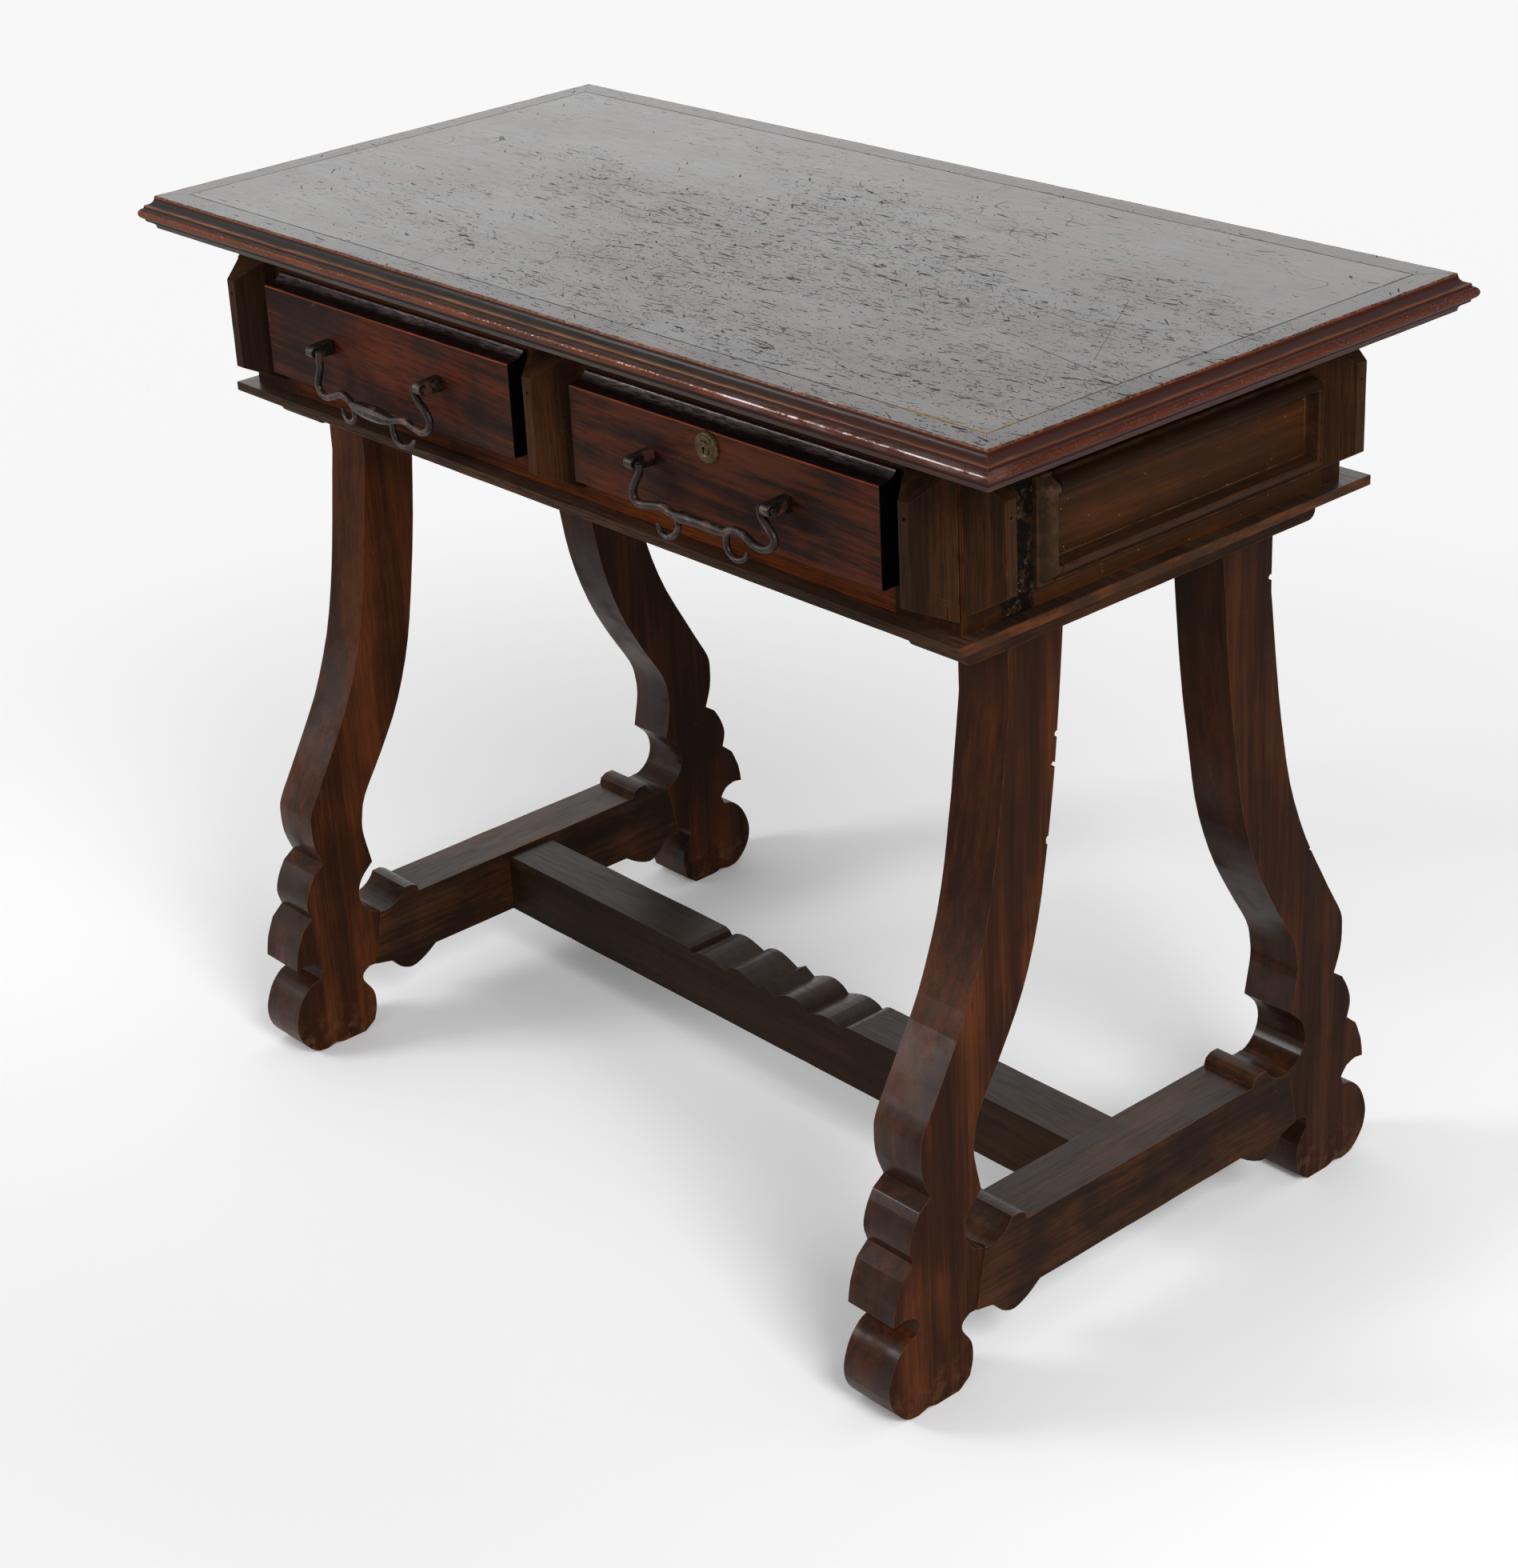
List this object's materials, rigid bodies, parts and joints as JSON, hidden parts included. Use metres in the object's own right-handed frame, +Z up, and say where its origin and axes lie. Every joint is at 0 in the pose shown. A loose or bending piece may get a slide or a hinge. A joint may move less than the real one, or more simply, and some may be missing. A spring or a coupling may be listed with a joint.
{
  "type": "writing desk",
  "caption": "Small trestle desk with a moulded top, two drawers with iron bails, bracketed case, scroll-sawn legs and a long stretcher.",
  "frame": {"origin": "on the floor under the middle of the desk", "axes": "+X to the right along the drawer side, -Y out of the drawer side towards the sitter, +Z up"},
  "size_m": [1.014, 0.56, 0.79],
  "materials": {
    "top_wood": "dark waxed wood, scratched and pitted, satin",
    "case_wood": "dark polished wood with rubbed brown edges",
    "drawer_front_wood": "dark polished wood with red grain",
    "trestle_wood": "dark polished wood with rubbed brown edges",
    "inner_wood": "bare wood, dry and dull",
    "wrought_iron": "wrought iron, dark, rubbed bright in places",
    "brass": "old dulled brass"
  },
  "bodies": {
    "desk": {"top_board_front": "top_wood", "top_board_back": "top_wood", "edge_front": "case_wood", "edge_back": "case_wood", "edge_left": "case_wood", "edge_right": "case_wood", "side_board_left": "case_wood", "side_board_right": "case_wood", "back_board": "case_wood", "top_rail": "case_wood", "bottom_rail": "case_wood", "stile_left": "case_wood", "stile_right": "case_wood", "stile_centre": "case_wood", "partition": "inner_wood", "drawer_runners": "inner_wood", "drawer_guides": "inner_wood", "drawer_kickers": "inner_wood", "base_board_front": "case_wood", "base_board_back": "case_wood", "side_moulding_left": "case_wood", "side_moulding_right": "case_wood", "back_moulding": "case_wood", "bracket_front_left": "case_wood", "bracket_front_centre": "case_wood", "bracket_front_right": "case_wood", "bracket_back_left": "case_wood", "bracket_back_centre": "case_wood", "bracket_back_right": "case_wood", "bracket_side_front_left": "case_wood", "bracket_side_front_right": "case_wood", "bracket_side_back_left": "case_wood", "bracket_side_back_right": "case_wood", "bracket_nails": "wrought_iron", "leg_front_left": "trestle_wood", "leg_front_right": "trestle_wood", "leg_back_left": "trestle_wood", "leg_back_right": "trestle_wood", "end_rail_left": "trestle_wood", "end_rail_right": "trestle_wood", "bearer_left": "trestle_wood", "bearer_right": "trestle_wood", "stretcher": "trestle_wood"},
    "drawer_left": {"drawer_left_front": "drawer_front_wood", "drawer_left_sides": "inner_wood", "drawer_left_back": "inner_wood", "drawer_left_bottom": "inner_wood", "handle_posts_left": "wrought_iron"},
    "drawer_right": {"drawer_right_front": "drawer_front_wood", "drawer_right_sides": "inner_wood", "drawer_right_back": "inner_wood", "drawer_right_bottom": "inner_wood", "handle_posts_right": "wrought_iron", "lock_rosette": "brass", "lock_case": "wrought_iron"},
    "bail_left": {"bail_left": "wrought_iron"},
    "bail_right": {"bail_right": "wrought_iron"},
    "lock_bolt": {"lock_bolt": "brass"}
  },
  "joints": [
    {"name": "drawer_left_slide", "type": "slide", "parent": "desk", "child": "drawer_left", "axis": [0, -1, 0], "range_m": [0, 0.26]},
    {"name": "drawer_right_slide", "type": "slide", "parent": "desk", "child": "drawer_right", "axis": [0, -1, 0], "range_m": [0, 0.26]},
    {"name": "bail_left_swing", "type": "hinge", "parent": "drawer_left", "child": "bail_left", "pos_m": [-0.20425, -0.2385, 0.694], "axis": [-1, 0, 0], "range_deg": [-16, 105]},
    {"name": "bail_right_swing", "type": "hinge", "parent": "drawer_right", "child": "bail_right", "pos_m": [0.20425, -0.2385, 0.694], "axis": [-1, 0, 0], "range_deg": [-16, 105]},
    {"name": "lock_bolt_slide", "type": "slide", "parent": "drawer_right", "child": "lock_bolt", "axis": [0, 0, 1], "range_m": [0, 0.009]}
  ]
}
